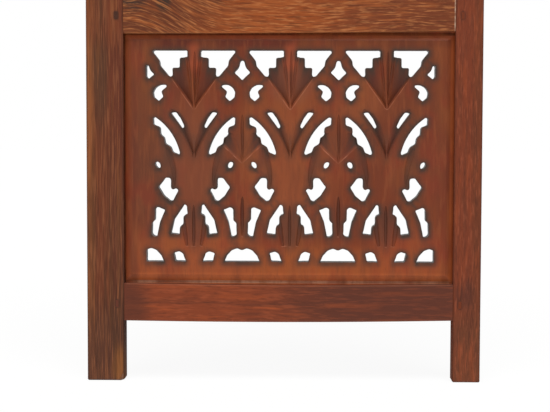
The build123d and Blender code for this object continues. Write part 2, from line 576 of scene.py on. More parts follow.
    def off_shoulders(self, tree: Tree, place: Socket) -> Socket:
        """Tells the length between a rail's shoulders from the tight joints, where nothing rubs.

        Args:
            tree: The material's node tree.
            place: The object coordinates.

        Returns:
            1 along the rail and 0 at its shoulders.
        """
        left, right = self.shoulders_mm
        half = (right - left) / 2
        across = add_node(tree, "ShaderNodeSeparateXYZ", {0: place}).outputs["X"]
        inputs = {0: across, 1: (left + right) / 2 * MM}
        gap = add_node(tree, "ShaderNodeMath", inputs, operation="SUBTRACT").outputs[0]
        size = add_node(tree, "ShaderNodeMath", {0: gap}, operation="ABSOLUTE").outputs[0]
        inputs = {"Value": size, "From Min": (half - 1.0) * MM, "From Max": (half - 4.0) * MM}
        return add_node(tree, "ShaderNodeMapRange", inputs).outputs[0]

    def carving_light_and_rims(self, tree: Tree, place: Socket) -> list[tuple[Socket, str]]:
        """Lays painted shade in the carved hollows and beside the cuts, painted highlights and dark rims.

        Args:
            tree: The material's node tree.
            place: The object coordinates.

        Returns:
            The coats: painted shade in hollows and beside cuts, painted highlights on chip edges, dark rims.
        """
        depth, shade_by_cuts, chip_edge_gap, distance = (
            add_node(tree, "ShaderNodeAttribute", attribute_name=name).outputs["Fac"]
            for name in ("cut_depth", "shade_by_cuts", "chip_distance", "rim_distance")
        )
        # Painted shade in the carved hollows, darker where they are deeper.
        inputs = {"Value": depth, "From Min": 0.9, "From Max": 3.4, "To Max": 0.6}
        hollow = add_node(tree, "ShaderNodeMapRange", inputs).outputs[0]
        # A painted highlight along the chips' lower edges that face up, broken in patches.
        broken = patchiness(tree, place, 90.0, (0.38, 0.58), (0.15, 0.75))
        inputs = {"Value": chip_edge_gap, "From Min": 0.9, "From Max": 0.2, "To Max": broken}
        edge_tone = add_node(tree, "ShaderNodeMapRange", inputs).outputs[0]
        # Dark rims round each hole, partly painted shade.
        inputs = {"Value": distance, "From Min": self.arris_mm, "From Max": 0.0}
        near = add_node(tree, "ShaderNodeMapRange", inputs).outputs[0]
        faded = add_node(tree, "ShaderNodeMath", {0: near, 1: 2.0}, operation="POWER").outputs[0]
        inputs = {0: faded, 1: patchiness(tree, place, 45.0, (0.3, 0.7), (0.8, 1.45))}
        rims = add_node(tree, "ShaderNodeMath", inputs, operation="MULTIPLY", use_clamp=True).outputs[0]
        return [(hollow, self.crevice_shade), (shade_by_cuts, self.arris), (edge_tone, self.lit_chip_edge), (rims, self.arris)]


@dataclass(frozen=True)
class BrassFinish:
    """Rolled brass sheet and turned pins, dulled by handling to a brown-gold with fine scratches.

    The scratches are drawn wider than real ones, so that they show.
    """

    name: str = "aged_brass"
    clean: str = "#b08d4a"
    tarnish: str = "#6b4f2a"
    patch_mm: float = 8.0
    scratch_mm: float = 0.8

    def build(self) -> bpy.types.Material:
        """Makes the material.

        Returns:
            A metal with darker tarnished patches that are also less glossy.
        """
        material, tree, shader, place = new_material(self.name)
        shader.inputs["Metallic"].default_value = 1.0
        inputs = {"Vector": place, "Scale": 1000 / self.patch_mm, "Detail": 5.0}
        patches = add_node(tree, "ShaderNodeTexNoise", inputs).outputs["Fac"]
        colour = laid_over(tree, self.clean, [(patches, self.tarnish)])
        tree.links.new(colour, shader.inputs["Base Color"])
        inputs = {"Value": patches, "To Min": 0.25, "To Max": 0.55}
        tree.links.new(add_node(tree, "ShaderNodeMapRange", inputs).outputs[0], shader.inputs["Roughness"])
        inputs = {"Vector": place, "Scale": 1000 / self.scratch_mm, "Detail": 2.0}
        scratches = add_node(tree, "ShaderNodeTexNoise", inputs).outputs["Fac"]
        inputs = {"Strength": 0.15, "Distance": 0.1 * MM, "Height": scratches}
        tree.links.new(add_node(tree, "ShaderNodeBump", inputs).outputs[0], shader.inputs["Normal"])
        return material


@dataclass(frozen=True)
class BambooFinish:
    """Split bamboo, cut flush, speckled by its strands and darkened by the stain that their ends drink.

    The strands are drawn a little wider than real ones, so that they show.
    """

    name: str = "stained_split_bamboo"
    body: str = "#45291f"
    strand: str = "#5c3d2c"
    strand_mm: float = 1.2
    stains: tuple[Stain, ...] = ()

    def build(self) -> bpy.types.Material:
        """Makes the material.

        Returns:
            A dark material speckled by the ends of the strands.
        """
        material, tree, shader, place = new_material(self.name)
        inputs = {"Vector": place, "Scale": 1000 / self.strand_mm}
        strands = add_node(tree, "ShaderNodeTexVoronoi", inputs).outputs["Distance"]
        inputs = {"Value": strands, "From Min": 0.35, "From Max": 0.1, "To Max": 0.8}
        coats = [(add_node(tree, "ShaderNodeMapRange", inputs).outputs[0], self.strand)]
        coats += [(stain.share(tree, place), stain.colour) for stain in self.stains]
        tree.links.new(laid_over(tree, self.body, coats), shader.inputs["Base Color"])
        inputs = {"Strength": 0.4, "Distance": 0.2 * MM, "Height": strands}
        tree.links.new(add_node(tree, "ShaderNodeBump", inputs).outputs[0], shader.inputs["Normal"])
        shader.inputs["Roughness"].default_value = 0.65
        shader.inputs["Specular IOR Level"].default_value = 0.15
        return material


# Frame members


@dataclass(kw_only=True)
class FrameMember:
    """A stile or rail, planed by hand, with its arrises worn round."""

    node: str
    slot: str
    finish: TimberFinish
    wear_mm: float = 1.0
    shoulder_wear_mm: float = 0.35
    hollow_mm: float = 0.3
    hollows_per_metre: float = 9.0
    span_mm: float = 45.0
    long_arris_mm: float = 100.0
    short_arris_mm: float = 20.0
    arris_depth_mm: float = 12.5
    face_depth_mm: float = 11.0

    def build(self) -> Piece:
        """Makes the piece that stands for the CAD node.

        Returns:
            The finished piece.
        """
        shape = merged_copy(self.node)
        self.ease(shape)
        self.divide(shape)
        self.form(shape)
        piece = finished_object(shape, f"{self.node}_timber", LEAF_BODY, self.finish.build())
        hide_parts(self.node)
        return piece

    def run(self) -> tuple[int, Vector, Vector]:
        """Finds which way the member runs.

        Returns:
            Its long axis, and the low and the high corner of its box.
        """
        low, high = (Vector(corner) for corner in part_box(self.node))
        spans = high - low
        return max(range(3), key=lambda axis: spans[axis]), low, high

    def ease(self, shape: Shape) -> None:
        """Rounds the long arrises, and less the ones at joints.

        Args:
            shape: The member's shape.
        """
        main = self.run()[0]

        def along(edge: Edge) -> bool:
            """Says whether an edge is a long arris."""
            line = edge.verts[0].co - edge.verts[1].co
            return abs(line[main]) > 0.9 * line.length and self.outside(edge, self.long_arris_mm)

        def square(edge: Edge) -> bool:
            """Says whether an edge is a short arris at a joint or an end."""
            line = edge.verts[0].co - edge.verts[1].co
            return abs(line[main]) < 0.1 * line.length and self.outside(edge, self.short_arris_mm)

        ease_edges(shape, self.wear_mm * MM, along)
        ease_edges(shape, self.shoulder_wear_mm * MM, square)

    def outside(self, edge: Edge, shortest_mm: float) -> bool:
        """Says whether an edge lies on the member's front or back face and is long enough to wear."""
        on_face = all(abs(vert.co.y) > self.arris_depth_mm * MM for vert in edge.verts)
        return on_face and edge.calc_length() > shortest_mm * MM

    def divide(self, shape: Shape) -> None:
        """Divides the member along its length so that its faces can be uneven.

        Args:
            shape: The member's shape.
        """
        main, low, high = self.run()
        normal = Vector((0.0, 0.0, 0.0))
        normal[main] = 1.0
        length = (high - low)[main]
        steps = round(length / (self.span_mm * MM))
        for step in range(1, steps):
            bmesh.ops.bisect_plane(
                shape,
                geom=shape.verts[:] + shape.edges[:] + shape.faces[:],
                dist=GRIP,
                plane_co=low + normal * (length * step / steps),
                plane_no=normal,
            )

    def form(self, shape: Shape) -> None:
        """Planes the two faces slightly hollow, by hand and so unevenly.

        Args:
            shape: The member's shape.
        """
        for vert in [vert for vert in shape.verts if abs(vert.co.y) >= self.face_depth_mm * MM]:
            place = vert.co * self.hollows_per_metre + Vector(self.finish.shift_mm)
            share = 0.5 + 0.5 * noise.noise(place)
            vert.co.y -= math.copysign(self.hollow_mm * MM * share, vert.co.y)


@dataclass(kw_only=True)
class Rail(FrameMember):
    """A rail between the stiles, which may have sagged."""

    slot: str = "rail_wood"
    sag_mm: float = 0.0
    top_loss_mm: float = 0.0
    lip_rise_mm: float = 0.0
    lip_mm: float = 6.0
    held_end_mm: float = 25.0

    def form(self, shape: Shape) -> None:
        """Lets the middle sag, wears the upper lips down and lets the lower lips rise to the right.

        Args:
            shape: The rail's shape.
        """
        super().form(shape)
        low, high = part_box(self.node)
        middle = (low[0] + high[0]) / 2
        reach = (high[0] - low[0]) / 2 - self.held_end_mm * MM
        for vert in shape.verts:
            along = max(-1.0, min(1.0, (vert.co.x - middle) / reach))
            bottom = vert.co.z < low[2] + self.lip_mm * MM
            top = vert.co.z > high[2] - self.lip_mm * MM
            vert.co.z -= self.sag_mm * MM * (1 - along**2) + self.top_loss_mm * MM * top
            vert.co.z += self.lip_rise_mm * MM * along * bottom


@dataclass(kw_only=True)
class Stile(FrameMember):
    """An upright of the frame, which may have lost a chip from its foot."""

    slot: str = "stile_wood"
    chip_mm: tuple[Triple, Triple] | None = None

    def ease(self, shape: Shape) -> None:
        """Splits the chip off the foot, closes the break and then rounds the arrises.

        Args:
            shape: The stile's shape.
        """
        if self.chip_mm:
            point, direction = (Vector(value) for value in self.chip_mm)
            cut_off(shape, point * MM, direction.normalized(), CRUMB)
        super().ease(shape)


# Pierced boards


@dataclass(frozen=True)
class GougeCut:
    """A boat-shaped hollow between two points, in mm from the cell's middle line and the rail below."""

    start: tuple[float, float]
    end: tuple[float, float]
    width: float
    depth: float
    bow: float = 0.0
    swell: float = 0.25
    stop: float = 1.0

    def cutter(self) -> Shape:
        """Makes the cutter with the board's face at y = 0 and the wood behind it.

        Returns:
            A closed shape in mm.
        """
        shape = bmesh.new()
        bmesh.ops.create_uvsphere(shape, u_segments=GOUGE_FACETS, v_segments=GOUGE_RINGS, radius=1.0)
        if self.stop < 1.0:
            cut_off(shape, Vector((0, 0, 2 * self.stop - 1)), Vector((0, 0, 1)))
        start, end = (Vector((across, 0, up)) for across, up in (self.start, self.end))
        run = end - start
        aside = Vector((run.z, 0, -run.x)).normalized()
        for vert in shape.verts:
            share = (vert.co.z + 1) / 2
            wide = self.width / 2 * (1 + self.swell * (1 - 2 * share))
            bend = self.bow * 4 * share * (1 - share)
            centre = start + run * share + aside * (bend + vert.co.x * wide)
            vert.co = centre + Vector((0, vert.co.y * self.depth, 0))
        return shape


@dataclass(frozen=True)
class ChipCut:
    """A flat-sided chip, by its corners as (across, up, depth) in mm."""

    corners: tuple[Triple, ...]
    clear: float = 1.5

    def cutter(self) -> Shape:
        """Makes the cutter with the board's face at y = 0 and the wood behind it.

        Returns:
            A closed shape in mm.
        """
        shape = bmesh.new()
        for across, up, depth in self.corners:
            shape.verts.new((across, depth, up))
            shape.verts.new((across, -self.clear, up))
        bmesh.ops.convex_hull(shape, input=shape.verts)
        loose = [vert for vert in shape.verts if not vert.link_faces]
        bmesh.ops.delete(shape, geom=loose, context="VERTS")
        return shape


# The shell at the head of each cell: a sunken fan with steep outer walls and three flutes
SHELL_HEAD = (
    ChipCut(
        (
            (30.5, 262.5, 0.0), (1.2, 220.5, 0.0), (28.6, 264.6, 4.2), (2.2, 226.0, 2.2),
            (27.2, 276.0, 4.2), (15.5, 290.0, 1.3), (12.0, 290.0, 0.0), (0.6, 232.0, 0.0),
        )
    ),
    GougeCut((8.6, 294.0), (1.8, 228.0), 3.8, 1.9, swell=0.4),
)
SHELL_HEAD_MIDDLE = (GougeCut((0.9, 294.0), (0.8, 224.0), 3.4, 2.0, swell=0.35),)

# The two long chips that the slim leaves are pierced in, which run down to one point
CALYX = (
    ChipCut(
        (
            (29.5, 221.5, 0.0), (17.0, 215.5, 0.0), (8.5, 203.0, 0.0), (3.6, 188.0, 0.0),
            (0.2, 168.0, 0.0), (31.5, 216.0, 0.0), (18.0, 193.0, 0.0), (1.4, 157.5, 0.0),
            (24.0, 213.5, 3.2), (16.5, 202.0, 4.4), (14.0, 194.0, 4.2), (7.0, 178.5, 3.4), (1.6, 164.0, 2.0),
        )
    ),
)

# The curved stroke down each side of the vase
VASE_SIDE = (GougeCut((35.0, 172.0), (24.5, 121.0), 7.0, 1.9, bow=3.0, swell=0.55),)

# The flutes over the vase's foot, which end at a stop line
VASE_FOOT = (GougeCut((13.5, 88.0), (8.0, 42.0), 6.0, 2.3, bow=-1.2, swell=0.1, stop=0.9),)
VASE_FOOT_MIDDLE = (GougeCut((-0.6, 99.0), (-0.4, 42.0), 4.6, 2.3, swell=0.0, stop=0.93),)

# On each line between two cells: a palmette of two chips and a flute, and a boat-shaped cut below
PALMETTE = (
    ChipCut(
        (
            (24.5, 174.5, 0.0), (0.4, 152.0, 0.0), (22.0, 178.5, 3.6), (1.8, 159.0, 1.4),
            (20.0, 191.0, 2.4), (11.5, 190.0, 0.0), (1.0, 167.0, 0.0),
        )
    ),
)
PALMETTE_MIDDLE = (
    GougeCut((0.0, 214.0), (0.8, 156.0), 4.4, 2.0, swell=0.3),
    GougeCut((0.4, 110.0), (0.2, 58.0), 5.0, 2.6, swell=0.1),
)


@dataclass(frozen=True)
class ShadePatch:
    """A soft patch of painted shade beside the carved strokes and chips, in mm as the cuts are."""

    across: float
    up: float
    reach_across: float
    reach_up: float
    strength: float
    fading: float = 0.7

    def share(self, across: float, up: float) -> float:
        """Says how much painted shade a point takes.

        Args:
            across: How far the point lies from the patch's line, in mm.
            up: How far it lies above the rail below, in mm.

        Returns:
            From 0 where the patch ends to its full strength.
        """
        gone = math.hypot((across - self.across) / self.reach_across, (up - self.up) / self.reach_up)
        near = max(0.0, min(1.0, (1 - gone) / self.fading))
        return self.strength * near * near * (3 - 2 * near)


# Painted shade beside each cell's line: over the vase's foot and sides, and the long chips over it
SHADE_BESIDE_CELL = (
    ShadePatch(0.0, 68.0, 17.0, 42.0, 0.50),
    ShadePatch(33.5, 160.0, 10.0, 24.0, 0.45),
    ShadePatch(27.0, 132.0, 10.0, 24.0, 0.45),
    ShadePatch(0.0, 172.0, 12.0, 24.0, 0.45),
    ShadePatch(14.0, 188.0, 13.0, 22.0, 0.30),
)

# Painted shade on each line between two cells: over the palmette and the boat-shaped cut
SHADE_ON_LINE = (
    ShadePatch(0.0, 174.0, 24.0, 30.0, 0.30),
    ShadePatch(0.0, 84.0, 9.0, 36.0, 0.25),
)


@dataclass
class CarvedBoards:
    """The four pierced boards, carved alike on both faces."""

    finish: TimberFinish

    # The boards' sizes, as in the CAD, and those of the handwork on them
    count: int = 4
    cells: int = 3
    half_thickness_mm: float = 7.5
    bay_bottom_mm: float = 126.0
    pattern_left_mm: float = -175.0
    cell_width_mm: float = 122.0
    rim_mm: float = 0.4
    grid_mm: float = 6.0
    soft_mm: float = 2.0
    small_mm: float = 7.0
    filed_wider: float = 1.3

    # For the values that the finish reads: how far the rims' painted shade shifts down and left, how far the
    # carving reaches, which points count as rims, and which edges as chips' lower edges with painted
    # highlights
    rim_shade_shift_mm: tuple[float, float] = (0.5, 1.1)
    carved_beside_mm: float = 6.0
    carved_heights_mm: tuple[float, float] = (20.0, 300.0)
    slack_mm: float = 0.1
    on_rim_mm: float = 0.2
    off_rim_mm: float = 1.2
    chip_wall: float = 0.9
    lit_slope: float = 0.46
    lit_edge_step_mm: float = 0.5

    pieces: list[Piece] = field(default_factory=list)

    def build(self) -> list[Piece]:
        """Carves one board and copies it into each bay.

        Returns:
            The boards from the lowest up.
        """
        blank = self.blank()
        rims = self.rim_points(blank)
        carved = cut_away(blank, self.carving(), overlapping=True)
        self.true_up(carved)
        self.mark_depth(carved)
        self.mark_shade_by_cuts(carved)
        self.mark_rims(carved, rims)
        self.mark_chips(carved, rims)
        material = self.finish.build()
        floor = Vector(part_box("carved_board_1")[0])
        for number in range(1, self.count + 1):
            node = f"carved_board_{number}"
            board = carved.copy()
            rise = Vector(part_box(node)[0]) - floor
            bmesh.ops.translate(board, verts=board.verts, vec=rise)
            piece = finished_object(board, f"{node}_carving", LEAF_BODY, material)
            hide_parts(node)
            self.pieces.append(piece)
        carved.free()
        return self.pieces

    def blank(self) -> Shape:
        """Makes the board as it is before carving, with softened outlines and eased rims.

        Returns:
            A closed shape in the leaf's own frame.
        """
        shape = merged_copy("carved_board_1")
        flat = self.half_thickness_mm * MM - GRIP
        faces = [
            face
            for face in shape.faces
            if abs(face.normal.y) > LOOKS_OUT and abs(face.verts[0].co.y) > flat
        ]
        bmesh.ops.delete(shape, geom=faces, context="FACES")
        self.divide_rims(shape)
        self.soften_rims(shape)
        self.ease_rims(shape)
        for side in (-1, 1):
            open_edges = [
                edge
                for edge in shape.edges
                if edge.is_boundary and all(vert.co.y * side > 0 for vert in edge.verts)
            ]
            bmesh.ops.triangle_fill(shape, use_beauty=True, edges=open_edges, normal=(0, side, 0))
        bmesh.ops.recalc_face_normals(shape, faces=shape.faces)
        self.divide_faces(shape)
        return shape

    def divide_faces(self, shape: Shape) -> None:
        """Divides the two flat faces into a grid, so that values kept at its points can fade across them.

        Args:
            shape: The closed board.
        """
        low, high = (Vector(corner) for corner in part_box("carved_board_1"))
        seams = [
            edge for edge in shape.edges if all(abs(face.normal.y) > LOOKS_OUT for face in edge.link_faces)
        ]
        bmesh.ops.dissolve_limit(shape, angle_limit=FLAT_ANGLE, edges=seams)
        for normal in (Vector((1, 0, 0)), Vector((0, 0, 1))):
            start, stop = low.dot(normal), high.dot(normal)
            steps = round((stop - start) / (self.grid_mm * MM))
            for step in range(1, steps):
                flat = [face for face in shape.faces if abs(face.normal.y) > LOOKS_OUT]
                # Dictionaries keep their order, so that the cuts come out alike every time.
                edges = dict.fromkeys(edge for face in flat for edge in face.edges)
                verts = dict.fromkeys(vert for edge in edges for vert in edge.verts)
                bmesh.ops.bisect_plane(
                    shape,
                    geom=[*verts, *edges, *flat],
                    dist=GRIP,
                    plane_co=normal * (start + (stop - start) * step / steps),
                    plane_no=normal,
                )

    def rims(self, shape: Shape) -> list[Edge]:
        """Finds the open edges round the holes, which stand on upright walls."""
        borders = [edge for edge in shape.edges if edge.is_boundary]
        return [edge for edge in borders if abs(edge.link_faces[0].normal.y) < LOOKS_ASIDE]

    def divide_rims(self, shape: Shape) -> None:
        """Divides the holes' walls into strips of about equal width.

        Args:
            shape: The board without its flat faces.
        """
        lengths: dict[int, list[Edge]] = {}
        for edge in self.rims(shape):
            lengths.setdefault(round(edge.calc_length() / (self.soft_mm * MM)) - 1, []).append(edge)
        for cuts, edges in lengths.items():
            if cuts > 0:
                bmesh.ops.subdivide_edges(shape, edges=edges, cuts=cuts, use_grid_fill=True)

    def soften_rims(self, shape: Shape) -> None:
        """Rounds the corners in the outlines of the holes, as a fretsaw leaves them.

        Args:
            shape: The board without its flat faces.
        """
        beside: dict[Vert, list[Vert]] = {}
        for edge in self.rims(shape):
            for vert in edge.verts:
                beside.setdefault(vert, []).append(edge.other_vert(vert))
        self.open_small_holes(beside)
        # Each step back undoes the shrinking of the step before and leaves the corners round.
        for share in (0.5, -0.53, 0.5, -0.53):
            moved = {vert: vert.co.lerp((a.co + b.co) / 2, share) for vert, (a, b) in beside.items()}
            for vert, place in moved.items():
                vert.co = place

    def open_small_holes(self, beside: dict[Vert, list[Vert]]) -> None:
        """Files the smallest holes a little wider.

        Args:
            beside: The two neighbours of each point along the rims.
        """
        waiting = dict.fromkeys(beside)
        while waiting:
            loop = [waiting.popitem()[0]]
            for vert in loop:
                for other in beside[vert]:
                    if other in waiting:
                        del waiting[other]
                        loop.append(other)
            centre = sum((vert.co for vert in loop), Vector()) / len(loop)
            if max((vert.co - centre).length for vert in loop) < self.small_mm * MM:
                for vert in loop:
                    vert.co.x = centre.x + (vert.co.x - centre.x) * self.filed_wider

    def ease_rims(self, shape: Shape) -> None:
        """Sands the sharp rims of the holes to a narrow slope.

        Args:
            shape: The board without its flat faces.
        """
        width = self.rim_mm * MM
        bmesh.ops.recalc_face_normals(shape, faces=shape.faces)
        rims = self.rims(shape)
        away: dict[Vert, Vector] = {}
        for edge in rims:
            for vert in edge.verts:
                away[vert] = away.get(vert, Vector()) - edge.link_faces[0].normal
        strip = bmesh.ops.extrude_edge_only(shape, edges=rims)
        for vert in [item for item in strip["geom"] if isinstance(item, Vert)]:
            beside = [edge.other_vert(vert) for edge in vert.link_edges]
            old = next(other for other in beside if other in away)
            vert.co += away[old].normalized() * width
        for vert in away:
            vert.co.y -= math.copysign(width, vert.co.y)

    def true_up(self, shape: Shape) -> None:
        """Brings every point that lies on the two flat faces exactly onto them, and drops crumbs.

        Args:
            shape: The carved board.
        """
        bmesh.ops.remove_doubles(shape, verts=shape.verts, dist=MERGE)
        bmesh.ops.dissolve_degenerate(shape, edges=shape.edges, dist=CRUMB)
        face = self.half_thickness_mm * MM
        for vert in shape.verts:
            if abs(abs(vert.co.y) - face) < 2 * GRIP:
                vert.co.y = math.copysign(face, vert.co.y)

    def mark_depth(self, shape: Shape) -> None:
        """Notes how far each point of the pattern lies below the board's face, for the finish.

        Args:
            shape: The carved board.
        """
        depth = shape.verts.layers.float.new("cut_depth")
        left = self.pattern_left_mm - self.carved_beside_mm
        right = self.pattern_left_mm + self.cells * self.cell_width_mm + self.carved_beside_mm
        lowest, highest = self.carved_heights_mm
        for vert in shape.verts:
            across, up = vert.co.x / MM, vert.co.z / MM - self.bay_bottom_mm
            if left < across < right and lowest < up < highest:
                vert[depth] = self.half_thickness_mm - abs(vert.co.y) / MM

    def mark_shade_by_cuts(self, shape: Shape) -> None:
        """Notes how much painted shade each point takes beside the cuts, for the finish.

        Args:
            shape: The carved board.
        """
        shade_by_cuts = shape.verts.layers.float.new("shade_by_cuts")
        lines = [self.pattern_left_mm + half * self.cell_width_mm / 2 for half in range(1, 2 * self.cells)]
        for vert in shape.verts:
            up = vert.co.z / MM - self.bay_bottom_mm
            clean = 1.0
            for middles, places in ((lines[::2], SHADE_BESIDE_CELL), (lines[1::2], SHADE_ON_LINE)):
                across = min(abs(vert.co.x / MM - middle) for middle in middles)
                for place in places:
                    clean *= 1 - place.share(across, up)
            vert[shade_by_cuts] = 1 - clean

    def rim_points(self, shape: Shape) -> kdtree.KDTree:
        """Collects the points along the rims of the holes, laid flat.

        Args:
            shape: The board before carving.

        Returns:
            A tree that finds the nearest rim point.
        """
        # Only the inner edge of the sanded slope counts.
        inner = self.half_thickness_mm - self.rim_mm - self.slack_mm
        outer = self.half_thickness_mm - self.slack_mm
        return point_tree(
            [
                Vector((vert.co.x, 0, vert.co.z))
                for vert in shape.verts
                if inner < abs(vert.co.y) / MM < outer
                and any(abs(face.normal.y) < LOOKS_ASIDE for face in vert.link_faces)
            ]
        )

    def mark_rims(self, shape: Shape, rims: kdtree.KDTree) -> None:
        """Notes how far each point lies from the nearest pierced rim, for the finish.

        Args:
            shape: The carved board.
            rims: The rim points.
        """
        distance = shape.verts.layers.float.new("rim_distance")
        # Measured from a point a little up and to the right, the dark rims, partly painted shade, lie
        # heavier below and left of each hole.
        across, up = (shift * MM for shift in self.rim_shade_shift_mm)
        for vert in shape.verts:
            _, _, straight = rims.find((vert.co.x, 0, vert.co.z))
            _, _, shifted = rims.find((vert.co.x + across, 0, vert.co.z + up))
            vert[distance] = 0.0 if straight < self.on_rim_mm * MM else shifted / MM

    def mark_chips(self, shape: Shape, rims: kdtree.KDTree) -> None:
        """Notes how far each point lies from the chips' lower edges, painted as highlights, for the finish.

        Args:
            shape: The carved board.
            rims: The points along the pierced rims, which are left out.
        """
        face = self.half_thickness_mm * MM
        points = []
        for edge in shape.edges:
            walls = [item for item in edge.link_faces if abs(item.normal.y) < self.chip_wall]
            level = all(abs(vert.co.y) > face - GRIP for vert in edge.verts)
            if len(walls) != 1 or not level:
                continue
            facing = walls[0].normal
            # Only edges whose wall faces up take the painted highlight.
            if facing.z < self.lit_slope * math.hypot(facing.x, facing.z):
                continue
            steps = max(1, round(edge.calc_length() / (self.lit_edge_step_mm * MM)))
            start, end = (vert.co for vert in edge.verts)
            points += [start.lerp(end, step / steps) for step in range(steps + 1)]
        clear = self.off_rim_mm * MM
        tree = point_tree([point for point in points if rims.find((point.x, 0, point.z))[2] > clear])
        distance = shape.verts.layers.float.new("chip_distance")
        for vert in shape.verts:
            vert[distance] = tree.find(vert.co)[2] / MM

    def carving(self) -> Shape:
        """Makes the cutters for every cell and line, for both faces.

        Returns:
            Closed cutters in the leaf's own frame.
        """
        tools = bmesh.new()
        paired = SHELL_HEAD + CALYX + VASE_SIDE + VASE_FOOT
        middle = SHELL_HEAD_MIDDLE + VASE_FOOT_MIDDLE
        for cell in range(self.cells):
            line = self.pattern_left_mm + (cell + 0.5) * self.cell_width_mm
            self.place(tools, paired, line, (1, -1))
            self.place(tools, middle, line, (1,))
        for cell in range(1, self.cells):
            line = self.pattern_left_mm + cell * self.cell_width_mm
            self.place(tools, PALMETTE, line, (1, -1))
            self.place(tools, PALMETTE_MIDDLE, line, (1,))
        both = bmesh.ops.duplicate(tools, geom=tools.verts[:] + tools.edges[:] + tools.faces[:])
        copies = [item for item in both["geom"] if isinstance(item, Vert)]
        bmesh.ops.scale(tools, verts=copies, vec=(1, -1, 1))
        bmesh.ops.recalc_face_normals(tools, faces=tools.faces)
        bmesh.ops.scale(tools, verts=tools.verts, vec=(MM, MM, MM))
        return tools

    def place(
        self, tools: Shape, cuts: tuple[GougeCut | ChipCut, ...], line: float, sides: tuple[int, ...]
    ) -> None:
        """Adds cutters beside an upright line on the front face.

        Args:
            tools: Takes the cutters, in mm.
            cuts: The cuts, drawn to the right of their line.
            line: Where the line stands, in mm.
            sides: 1 for the cuts as drawn, -1 for their mirror images.
        """
        mesh = bpy.data.meshes.new("cutter")
        for cut in cuts:
            for side in sides:
                shape = cut.cutter()
                bmesh.ops.scale(shape, verts=shape.verts, vec=(side, 1, 1))
                shift = (line, -self.half_thickness_mm, self.bay_bottom_mm)
                bmesh.ops.translate(shape, verts=shape.verts, vec=shift)
                shape.to_mesh(mesh)
                shape.free()
                tools.from_mesh(mesh)
        bpy.data.meshes.remove(mesh)


# Hinges


